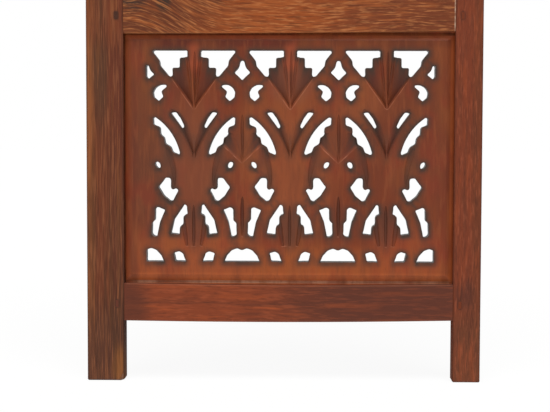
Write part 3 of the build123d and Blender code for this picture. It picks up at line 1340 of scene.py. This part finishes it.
@dataclass
class ButtHinge:
    """A brass butt hinge with its two screws in the leaf's own flap."""

    place: str
    brass: bpy.types.Material
    screw_offsets_mm: tuple[float, float] = (-22.5, 22.5)
    screw_y_mm: float = 3.0
    sink_radius_mm: float = 3.4
    shank_radius_mm: float = 1.7
    screw_length_mm: float = 16.0
    screw_tip_mm: float = 4.0
    screw_point_mm: float = 0.2
    screw_slot_mm: tuple[float, float] = (0.8, 0.8)
    sink_clear_mm: float = 0.2
    eased_mm: float = 0.25
    shortest_eased_mm: float = 1.5
    leaf_face_mm: float = 250.0
    next_face_mm: float = 252.0

    def build(self) -> list[Piece]:
        """Makes both flaps and the screws, and gives the pin its finish.

        Returns:
            The new pieces.
        """
        pieces = [
            self.flap("fixed_flap", LEAF_BODY, self.leaf_face_mm, -1),
            self.flap("free_flap", f"{self.place}_flap", self.next_face_mm, 1),
            *(self.screw(number) for number in (1, 2)),
        ]
        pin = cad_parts[f"{self.place}_hinge_pin"]
        pin.data.materials.clear()
        pin.data.materials.append(self.brass)
        return pieces

    def heights(self) -> list[float]:
        """Finds where the screws are.

        Returns:
            Their heights in mm, from the lower one up.
        """
        low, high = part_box(f"{self.place}_hinge_fixed_flap")
        middle = (low[2] + high[2]) / 2 / MM
        return [middle + offset for offset in self.screw_offsets_mm]

    def flap(self, which: str, body: str, face: float, inwards: int) -> Piece:
        """Countersinks a flap and eases its edges.

        Args:
            which: The end of the flap's node name.
            body: The CAD body that it rides on.
            face: The x in mm of the face that the screw heads lie in.
            inwards: The direction along X from that face into the metal.

        Returns:
            The finished flap.
        """
        node = f"{self.place}_hinge_{which}"
        sinks = bmesh.new()
        wide = self.sink_radius_mm + self.sink_clear_mm
        depth = wide - self.shank_radius_mm
        for height in self.heights():
            cone = bmesh.ops.create_cone(
                sinks,
                cap_ends=True,
                segments=ROUND_FACETS,
                radius1=wide,
                radius2=self.shank_radius_mm,
                depth=depth,
            )
            turn = Matrix.Rotation(math.radians(90 * inwards), 4, "Y")
            middle = face + inwards * (depth / 2 - self.sink_clear_mm)
            shift = Matrix.Translation((middle, self.screw_y_mm, height))
            bmesh.ops.transform(sinks, verts=cone["verts"], matrix=shift @ turn)
        bmesh.ops.scale(sinks, verts=sinks.verts, vec=(MM, MM, MM))
        shape = cut_away(merged_copy(node), sinks)
        ease_edges(shape, self.eased_mm * MM, lambda edge: edge.calc_length() > self.shortest_eased_mm * MM)
        piece = finished_object(shape, f"{node}_brass", body, self.brass)
        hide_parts(node)
        return piece

    def screw(self, number: int) -> Piece:
        """Makes a countersunk slotted screw, flush in the leaf's own flap.

        Args:
            number: The screw's number from the bottom.

        Returns:
            The screw.
        """
        shape = bmesh.new()
        head = self.sink_radius_mm - self.shank_radius_mm
        profile = (
            (0.0, 0.0), (self.sink_radius_mm, 0.0), (self.shank_radius_mm, -head),
            (self.shank_radius_mm, self.screw_tip_mm - self.screw_length_mm),
            (self.screw_point_mm, -self.screw_length_mm), (0.0, -self.screw_length_mm),
        )
        verts = [shape.verts.new((along, radius, 0.0)) for radius, along in profile]
        edges = [shape.edges.new(pair) for pair in zip(verts, verts[1:])]
        bmesh.ops.spin(
            shape,
            geom=verts + edges,
            cent=(0, 0, 0),
            axis=(1, 0, 0),
            angle=math.tau,
            steps=ROUND_FACETS,
            use_merge=True,
        )
        bmesh.ops.remove_doubles(shape, verts=shape.verts, dist=GRIP / MM)
        bmesh.ops.recalc_face_normals(shape, faces=shape.faces)
        slot = bmesh.new()
        bmesh.ops.create_cube(slot, size=1.0)
        slot_depth, slot_width = self.screw_slot_mm
        vec = (2 * slot_depth, slot_width, 3 * self.sink_radius_mm)
        bmesh.ops.scale(slot, verts=slot.verts, vec=vec)
        # The two slots stand at different angles.
        turn = Matrix.Rotation(math.radians(35 + 70 * number), 4, "X")
        bmesh.ops.transform(slot, verts=slot.verts, matrix=turn)
        for part in (shape, slot):
            shift = Matrix.Translation((self.leaf_face_mm, self.screw_y_mm, self.heights()[number - 1]))
            bmesh.ops.transform(part, verts=part.verts, matrix=Matrix.Scale(MM, 4) @ shift)
        shape = cut_away(shape, slot)
        name = f"{self.place}_hinge_screw_{number}"
        return finished_object(shape, name, LEAF_BODY, self.brass)


# Studio


@dataclass
class Studio:
    """White floor and surroundings, soft light from high in front, and the camera."""

    camera_place: Triple = (0.0262, -1.8019, 0.3377)
    camera_yaw: float = 1.19
    camera_tilt: float = 90 - 3.63
    camera_roll: float = 0.146
    focal_pixels: float = 1415.7
    image_width: int = 550
    key_strength: float = 2.9
    key_angle: float = 35.0
    key_heading: Triple = (-0.03, 0.42, -1.0)
    sky_strength: float = 0.28
    floor_glow: float = 0.93
    floor_reach: float = 12.0

    def build(self) -> None:
        """Sets the whole stage."""
        self.add_camera()
        self.add_light()
        self.add_world()
        self.add_floor()
        bpy.context.scene.view_settings.view_transform = "Standard"

    def add_camera(self) -> None:
        """Puts the camera in front of the lowest bay."""
        lens = bpy.data.cameras.new("camera")
        lens.sensor_width = 36.0
        lens.lens = self.focal_pixels / self.image_width * lens.sensor_width
        lens.clip_start = 0.05
        lens.clip_end = 60.0
        camera = bpy.data.objects.new("camera", lens)
        camera.matrix_world = (
            Matrix.Translation(self.camera_place)
            @ Matrix.Rotation(math.radians(self.camera_yaw), 4, "Z")
            @ Matrix.Rotation(math.radians(self.camera_tilt), 4, "X")
            @ Matrix.Rotation(math.radians(self.camera_roll), 4, "Z")
        )
        bpy.context.scene.collection.objects.link(camera)
        bpy.context.scene.camera = camera

    def add_light(self) -> None:
        """Adds one wide soft source, high in front of the leaf."""
        lamp = bpy.data.lights.new("soft_key", "SUN")
        lamp.energy = self.key_strength
        lamp.angle = math.radians(self.key_angle)
        light = bpy.data.objects.new("soft_key", lamp)
        light.rotation_euler = Vector(self.key_heading).to_track_quat("-Z", "Y").to_euler()
        bpy.context.scene.collection.objects.link(light)

    def add_world(self) -> None:
        """Surrounds the leaf with even light and shows the camera plain white."""
        world = bpy.data.worlds.new("studio")
        world.use_nodes = True
        tree = world.node_tree
        tree.nodes.clear()
        seen = self.seen_directly(tree)
        even = add_node(tree, "ShaderNodeBackground", {"Color": (1, 1, 1, 1), "Strength": self.sky_strength})
        white = add_node(tree, "ShaderNodeBackground", {"Color": (1, 1, 1, 1), "Strength": 1.0})
        mix = add_node(tree, "ShaderNodeMixShader", {0: seen, 1: even.outputs[0], 2: white.outputs[0]})
        add_node(tree, "ShaderNodeOutputWorld", {"Surface": mix.outputs[0]})
        bpy.context.scene.world = world

    def seen_directly(self, tree: Tree) -> Socket:
        """Tells rays that show the background from rays that light the leaf.

        Args:
            tree: The node tree that needs it.

        Returns:
            1 for camera, glossy and transmission rays, otherwise 0.
        """
        path = add_node(tree, "ShaderNodeLightPath")
        inputs = {0: path.outputs["Is Glossy Ray"], 1: path.outputs["Is Transmission Ray"]}
        gloss = add_node(tree, "ShaderNodeMath", inputs, operation="MAXIMUM").outputs[0]
        inputs = {0: path.outputs["Is Camera Ray"], 1: gloss}
        return add_node(tree, "ShaderNodeMath", inputs, operation="MAXIMUM").outputs[0]

    def add_floor(self) -> None:
        """Lays a white floor that still takes the leaf's shadow."""
        shape = bmesh.new()
        bmesh.ops.create_grid(shape, x_segments=1, y_segments=1, size=self.floor_reach)
        mesh = bpy.data.meshes.new("floor")
        shape.to_mesh(mesh)
        shape.free()
        # Nearly plain white where the camera sees it, and matt paper where it lights the leaf
        material = bpy.data.materials.new("white_paper_floor")
        material.use_nodes = True
        tree = material.node_tree
        tree.nodes.clear()
        paper = add_node(tree, "ShaderNodeBsdfDiffuse", {"Color": linear_colour("#f7f7f6")})
        glow = add_node(tree, "ShaderNodeEmission", {"Color": (1, 1, 1, 1), "Strength": 1.0})
        inputs = {0: self.seen_directly(tree), 1: self.floor_glow}
        share = add_node(tree, "ShaderNodeMath", inputs, operation="MULTIPLY").outputs[0]
        inputs = {0: share, 1: paper.outputs[0], 2: glow.outputs[0]}
        mix = add_node(tree, "ShaderNodeMixShader", inputs)
        add_node(tree, "ShaderNodeOutputMaterial", {"Surface": mix.outputs[0]})
        mesh.materials.append(material)
        floor = bpy.data.objects.new("floor", mesh)
        bpy.context.scene.collection.objects.link(floor)


# The leaf


@dataclass
class JaliLeaf:
    """The whole leaf: frame, boards, pegs and hinges."""

    pieces: list[Piece] = field(default_factory=list)

    def build(self) -> None:
        """Builds and dresses every sub-assembly in order."""
        self.add(self.stiles())
        self.add(self.rails())
        self.add(CarvedBoards(self.board_finish()).build())
        self.dress_pegs()
        brass = BrassFinish().build()
        for place in ("lower", "upper"):
            self.add(ButtHinge(place, brass).build())
        LOG.info("%d pieces", len(self.pieces))

    def add(self, pieces: list[Piece]) -> None:
        """Keeps finished pieces and reports each.

        Args:
            pieces: The pieces.
        """
        for piece in pieces:
            LOG.info("%s: %d faces", piece.name, len(piece.data.polygons))
        self.pieces += pieces

    def stiles(self) -> list[Piece]:
        """Makes the two stiles.

        Returns:
            The left and the right stile.
        """
        left = TimberFinish(
            "waxed_brown_hardwood_left_stile",
            body="#643018",
            layers=(
                Layer("#905325", 4.5, 160, 0.4, 0.53, 0.70),
                Layer("#472914", 8, 220, 0.6, 0.50, 0.68),
                Layer("#9b5e3a", 1.5, 45, 0.45, 0.50, 0.66),
                Layer("#391d0f", 1.3, 34, 0.5, 0.52, 0.66),
            ),
            arris="#3d2216",
            crevice_shade="#22130a",
            grain=Grain.UPRIGHT,
            shift_mm=(31.0, 7.0, 140.0),
            sway_mm=3.0,
            arris_mm=3.0,
            arris_strength=0.85,
            stains=(
                Stain((-252.0, -13.0, 420.0), (16.0, 60.0, 700.0), "#8a4f29", 0.9),
                Stain((-231.0, -13.0, 430.0), (17.0, 60.0, 150.0), "#45301f", 0.6),
                Stain((-206.0, -13.0, 400.0), (22.0, 60.0, 170.0), "#6d3019", 0.8),
                Stain((-209.0, -13.0, 260.0), (14.0, 60.0, 500.0), "#4c2617", 0.45),
                Stain((-220.0, -13.0, 20.0), (90.0, 60.0, 110.0), "#4a2c1e", 0.7),
                Stain((-208.0, -13.0, 15.0), (14.0, 60.0, 40.0), "#8a5427", 0.8),
                Stain((-230.0, -13.0, 470.0), (60.0, 60.0, 60.0), "#76371b", 0.5),
                # Painted shade on the inner side of the foot, which is also left matt.
                Stain((-203.0, 0.0, 30.0), (2.0, 60.0, 160.0), "#2a1a12", 0.6, over_figure=True, matt=True),
            ),
        )
        right = TimberFinish(
            "waxed_red_hardwood_right_stile",
            body="#73331a",
            layers=(
                Layer("#93431f", 10, 60, 0.45, 0.50, 0.66),
                Layer("#572a17", 8, 80, 0.5, 0.52, 0.68),
                Layer("#a35638", 1.6, 18, 0.38, 0.52, 0.67),
                Layer("#3d1c10", 1.4, 16, 0.42, 0.53, 0.67),
            ),
            arris="#4a2415",
            crevice_shade="#2a120a",
            grain=Grain.UPRIGHT,
            shift_mm=(210.0, 40.0, 610.0),
            sway_mm=7.0,
            arris_mm=3.0,
            arris_strength=0.85,
            stains=(
                Stain((232.0, -13.0, 112.0), (20.0, 60.0, 26.0), "#51281a", 0.8),
                Stain((246.0, -13.0, 300.0), (12.0, 60.0, 400.0), "#653219", 0.7),
                Stain((232.0, -13.0, 25.0), (45.0, 60.0, 90.0), "#623820", 0.65),
                # Painted shade on the inner side of the foot, which is also left matt.
                Stain((215.0, 0.0, 30.0), (2.0, 60.0, 160.0), "#5a2c1a", 0.5, over_figure=True, matt=True),
            ),
        )
        return [
            Stile(
                node="left_stile", finish=left, chip_mm=((-203.0, -9.0, 8.0), (0.85, -0.45, -0.35))
            ).build(),
            Stile(node="right_stile", finish=right).build(),
        ]

    def rails(self) -> list[Piece]:
        """Makes the five rails.

        Returns:
            The rails from the lowest up.
        """
        red = dict(
            body="#7f391c",
            layers=(
                Layer("#a34c22", 9, 100, 0.8, 0.52, 0.68),
                Layer("#572a19", 11, 130, 0.6, 0.52, 0.68),
                Layer("#9a4b2a", 3, 26, 0.5, 0.50, 0.66),
                Layer("#3f2014", 2.0, 14, 0.35, 0.54, 0.68),
            ),
            # Pale arrises, partly wear and partly a painted highlight
            arris="#8a5238",
            crevice_shade="#2a120a",
            grain=Grain.ACROSS,
            shoulders_mm=(-203.0, 215.0),
        )
        golden = dict(
            body="#924619",
            layers=(
                Layer("#6f3618", 12, 120, 0.5, 0.50, 0.68),
                Layer("#b1602c", 5, 70, 0.5, 0.50, 0.66),
                Layer("#c47d49", 1.8, 20, 0.55, 0.52, 0.66),
                Layer("#54280f", 1.7, 24, 0.6, 0.51, 0.65),
            ),
            # Pale arrises, partly wear and partly a painted highlight
            arris="#b0703f",
            crevice_shade="#2a120a",
            grain=Grain.ACROSS,
            shoulders_mm=(-203.0, 215.0),
        )
        ends = (
            Stain((190.0, -13.0, 100.0), (260.0, 60.0, 120.0), "#4d291c", 0.8),
            Stain((200.0, -13.0, 100.0), (230.0, 60.0, 120.0), "#5a2c1e", 0.6, over_figure=True),
            Stain((-206.0, -13.0, 92.0), (48.0, 30.0, 70.0), "#54291a", 0.75, over_figure=True),
            Stain((6.0, -7.4, 124.0), (9000.0, 5.4, 6.0), "#38160d", 0.85, over_figure=True),
        )
        marks = (
            Stain((-190.0, -13.0, 467.0), (140.0, 30.0, 90.0), "#602e17", 0.95),
            Stain((205.0, -13.0, 467.0), (200.0, 30.0, 90.0), "#6e3419", 0.95),
            Stain((-193.0, -13.0, 487.0), (26.0, 30.0, 26.0), "#33221a", 0.85),
            Stain((-152.0, -13.0, 484.0), (13.0, 30.0, 22.0), "#30241a", 0.9),
            Stain((-92.0, -13.0, 486.0), (20.0, 30.0, 14.0), "#4f2716", 0.7),
        )
        knot = Knot((-275.0, -13.0, 500.0), (210.0, 60.0, 400.0), (0.0, 0.0, -50.0))
        rails = (
            Rail(
                node="bottom_rail",
                sag_mm=2.0,
                top_loss_mm=1.0,
                lip_rise_mm=0.9,
                finish=TimberFinish(
                    "waxed_red_hardwood_bottom_rail", **red, shift_mm=(3.0, 5.0, 7.0), stains=ends
                ),
            ),
            Rail(
                node="middle_rail_1",
                sag_mm=0.7,
                lip_rise_mm=1.7,
                finish=TimberFinish(
                    "waxed_golden_hardwood_rail_1",
                    **golden,
                    shift_mm=(90.0, 11.0, 33.0),
                    stains=marks,
                    knots=(knot,),
                    filled=True,
                ),
            ),
            Rail(
                node="middle_rail_2",
                finish=TimberFinish("waxed_red_hardwood_rail_2", **red, shift_mm=(-50.0, 3.0, 71.0)),
            ),
            Rail(
                node="middle_rail_3",
                finish=TimberFinish("waxed_golden_hardwood_rail_3", **golden, shift_mm=(17.0, 9.0, 22.0)),
            ),
            Rail(
                node="top_rail",
                finish=TimberFinish("waxed_red_hardwood_top_rail", **red, shift_mm=(66.0, 2.0, 5.0)),
            ),
        )
        return [rail.build() for rail in rails]

    def board_finish(self) -> TimberFinish:
        """Sets the boards' finish, with painted shade in the carving and joints and painted light on bevels.

        Returns:
            The finish.
        """
        tops = (443.0, 808.0, 1173.0, 1538.0)
        # Painted shadow: a dark line where each board runs in under the rail above it.
        joints = tuple(Stain((6.0, -4.0, top - 1.8), (9000.0, 60.0, 2.6), "#1c0c07", 0.6) for top in tops)
        # Painted light on each board's top bevel, against the shade of the rail above it.
        bevels = tuple(Stain((6.0, -4.0, top - 5.2), (9000.0, 60.0, 5.0), "#a04e2e", 0.85) for top in tops)
        return TimberFinish(
            "red_brown_stained_carved_board",
            body="#733318",
            layers=(
                Layer("#8b4a22", 50, 180, 0.5, 0.48, 0.66),
                Layer("#7e2f1b", 36, 60, 0.45, 0.50, 0.64),
                Layer("#66301d", 14, 90, 0.4, 0.50, 0.68),
                Layer("#8f4c2a", 5, 40, 0.35, 0.50, 0.68),
                Layer("#4c2718", 1.8, 16, 0.2, 0.54, 0.70),
            ),
            # Tone of the dark rims round the holes and of the painted shade beside the cuts
            arris="#3f2e25",
            crevice_shade="#361c18",
            grain=Grain.UPRIGHT,
            shift_mm=(5.0, 3.0, 11.0),
            sway_mm=8.0,
            arris_mm=10.0,
            crevice_shade_mm=5.0,
            crevice_shade_strength=0.2,
            pierced=True,
            roughness=0.42,
            stains=(
                Stain((20.0, -7.5, 142.0), (300.0, 40.0, 40.0), "#9a4c20", 0.9),
                Stain((-115.0, -7.5, 165.0), (110.0, 40.0, 60.0), "#944824", 0.9),
                Stain((158.0, -7.5, 165.0), (60.0, 40.0, 50.0), "#944420", 0.8),
                Stain((5.0, -7.5, 285.0), (85.0, 40.0, 120.0), "#8b4726", 0.85),
                Stain((95.0, -7.5, 360.0), (50.0, 40.0, 50.0), "#864626", 0.8),
                Stain((-165.0, -7.5, 400.0), (70.0, 40.0, 60.0), "#562b1c", 0.7),
                Stain((158.0, -7.5, 405.0), (60.0, 40.0, 50.0), "#5c2f1c", 0.7),
                Stain((175.0, -7.5, 310.0), (80.0, 40.0, 110.0), "#6a341d", 0.7),
                Stain((-168.0, -7.5, 290.0), (45.0, 40.0, 150.0), "#603824", 0.6),
                Stain((5.0, -7.5, 431.5), (9000.0, 40.0, 9.0), "#5a2416", 0.75),
                # Painted light on each board's bottom bevel.
                Stain((5.0, -5.0, 129.0), (9000.0, 40.0, 12.0), "#b25a2c", 0.8),
                Stain((5.0, -4.0, 126.4), (9000.0, 40.0, 2.6), "#bd8a6e", 0.8),
                Stain((-194.0, -7.5, 280.0), (10.0, 30.0, 700.0), "#5f2a18", 0.5),
                Stain((205.0, -6.0, 300.0), (7.0, 30.0, 500.0), "#6a2a14", 0.5),
                # Painted light on the bevels beside both stiles, against the stiles' shade.
                Stain((214.5, -5.0, 300.0), (6.0, 30.0, 700.0), "#a5522c", 0.85),
                Stain((-199.0, -5.0, 300.0), (8.0, 30.0, 700.0), "#8c4628", 0.8),
                Stain((-114.0, -7.5, 285.0), (60.0, 40.0, 105.0), "#7f4931", 0.4, over_figure=True),
                Stain((8.0, -7.5, 385.0), (40.0, 40.0, 42.0), "#8a5a48", 0.25, over_figure=True),
                Stain((-114.0, -7.5, 412.0), (14.0, 40.0, 24.0), "#a64c2e", 0.5, over_figure=True),
                Stain((8.0, -7.5, 412.0), (14.0, 40.0, 24.0), "#a64c2e", 0.5, over_figure=True),
                *bevels,
                *joints,
                # Painted shadow in the gap beside the left stile.
                Stain((-203.5, -5.0, 800.0), (3.0, 30.0, 9000.0), "#150b06", 0.85),
            ),
        )

    def dress_pegs(self) -> None:
        """Gives the CAD pegs their finish."""
        finishes = {
            "left": BambooFinish(
                stains=(Stain((-212.0, -13.0, 102.0), (30.0, 30.0, 30.0), "#643526", 0.85),)
            ),
            "right": BambooFinish("red_stained_split_bamboo", body="#6d331d", strand="#7c3b22"),
        }
        for side, finish in finishes.items():
            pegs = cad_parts[f"{side}_tenon_pegs"]
            pegs.data.materials.clear()
            pegs.data.materials.append(finish.build())
            LOG.info("%s: finished", pegs.name)


def main() -> None:
    """Builds the leaf and its stage."""
    logging.basicConfig(level=logging.INFO, format="%(name)s %(message)s")
    JaliLeaf().build()
    Studio().build()
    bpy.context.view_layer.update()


if __name__ == "__main__":
    main()
